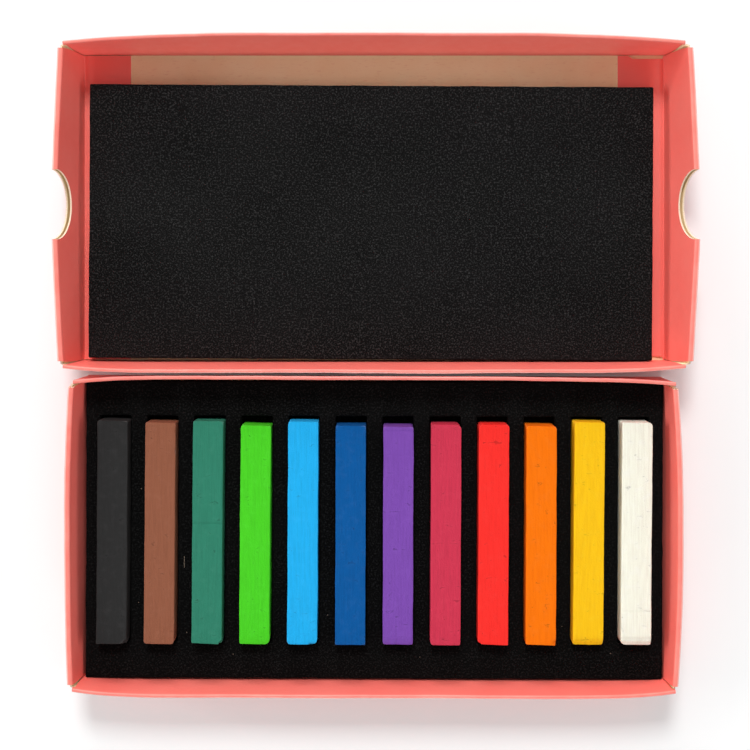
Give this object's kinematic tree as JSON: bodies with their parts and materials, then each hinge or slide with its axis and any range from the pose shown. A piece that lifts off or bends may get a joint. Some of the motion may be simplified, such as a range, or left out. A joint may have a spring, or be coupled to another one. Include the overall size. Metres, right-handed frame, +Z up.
{
  "type": "pastel stick box",
  "caption": "Open folding-carton box: tray with slotted foam holding square pastel sticks, and its thumb-notched lid lying upside down beside it with a foam pad.",
  "frame": {"origin": "on the table, at the middle of the area that the tray and the open lid cover together", "axes": "+X to the right along the sticks' row, +Y back from the tray towards the lid, +Z up"},
  "size_m": [0.1855, 0.1912, 0.019],
  "materials": {
    "coral_board": "satin",
    "black_foam": "matte",
    "black_pastel": "matte",
    "brown_pastel": "matte",
    "dark_green_pastel": "matte",
    "lime_pastel": "matte",
    "light_blue_pastel": "matte",
    "dark_blue_pastel": "matte",
    "violet_pastel": "matte",
    "crimson_pastel": "matte",
    "red_pastel": "matte",
    "orange_pastel": "matte",
    "yellow_pastel": "matte",
    "white_pastel": "matte"
  },
  "bodies": {
    "tray": {"tray": "coral_board"},
    "insert": {"base_foam": "black_foam", "slot_foam": "black_foam"},
    "black_stick": {"black_stick": "black_pastel"},
    "brown_stick": {"brown_stick": "brown_pastel"},
    "dark_green_stick": {"dark_green_stick": "dark_green_pastel"},
    "lime_stick": {"lime_stick": "lime_pastel"},
    "light_blue_stick": {"light_blue_stick": "light_blue_pastel"},
    "dark_blue_stick": {"dark_blue_stick": "dark_blue_pastel"},
    "violet_stick": {"violet_stick": "violet_pastel"},
    "crimson_stick": {"crimson_stick": "crimson_pastel"},
    "red_stick": {"red_stick": "red_pastel"},
    "orange_stick": {"orange_stick": "orange_pastel"},
    "yellow_stick": {"yellow_stick": "yellow_pastel"},
    "white_stick": {"white_stick": "white_pastel"},
    "lid": {"lid": "coral_board"},
    "pad": {"lid_pad": "black_foam"}
  },
  "joints": [
    {"name": "insert_lift", "type": "slide", "parent": "tray", "child": "insert", "axis": [0, 0, 1], "range_m": [0, 0.02]},
    {"name": "black_stick_lift", "type": "slide", "parent": "insert", "child": "black_stick", "axis": [0, 0, 1], "range_m": [0, 0.015]},
    {"name": "brown_stick_lift", "type": "slide", "parent": "insert", "child": "brown_stick", "axis": [0, 0, 1], "range_m": [0, 0.015]},
    {"name": "dark_green_stick_lift", "type": "slide", "parent": "insert", "child": "dark_green_stick", "axis": [0, 0, 1], "range_m": [0, 0.015]},
    {"name": "lime_stick_lift", "type": "slide", "parent": "insert", "child": "lime_stick", "axis": [0, 0, 1], "range_m": [0, 0.015]},
    {"name": "light_blue_stick_lift", "type": "slide", "parent": "insert", "child": "light_blue_stick", "axis": [0, 0, 1], "range_m": [0, 0.015]},
    {"name": "dark_blue_stick_lift", "type": "slide", "parent": "insert", "child": "dark_blue_stick", "axis": [0, 0, 1], "range_m": [0, 0.015]},
    {"name": "violet_stick_lift", "type": "slide", "parent": "insert", "child": "violet_stick", "axis": [0, 0, 1], "range_m": [0, 0.015]},
    {"name": "crimson_stick_lift", "type": "slide", "parent": "insert", "child": "crimson_stick", "axis": [0, 0, 1], "range_m": [0, 0.015]},
    {"name": "red_stick_lift", "type": "slide", "parent": "insert", "child": "red_stick", "axis": [0, 0, 1], "range_m": [0, 0.015]},
    {"name": "orange_stick_lift", "type": "slide", "parent": "insert", "child": "orange_stick", "axis": [0, 0, 1], "range_m": [0, 0.015]},
    {"name": "yellow_stick_lift", "type": "slide", "parent": "insert", "child": "yellow_stick", "axis": [0, 0, 1], "range_m": [0, 0.015]},
    {"name": "white_stick_lift", "type": "slide", "parent": "insert", "child": "white_stick", "axis": [0, 0, 1], "range_m": [0, 0.015]},
    {"name": "lid_turn", "type": "hinge", "parent": "tray", "child": "lid", "pos_m": [0, -0.0017, 0.04], "axis": [1, 0, 0], "range_deg": [0, 180]},
    {"name": "pad_lift", "type": "slide", "parent": "lid", "child": "pad", "axis": [0, 0, 1], "range_m": [0, 0.02]}
  ]
}
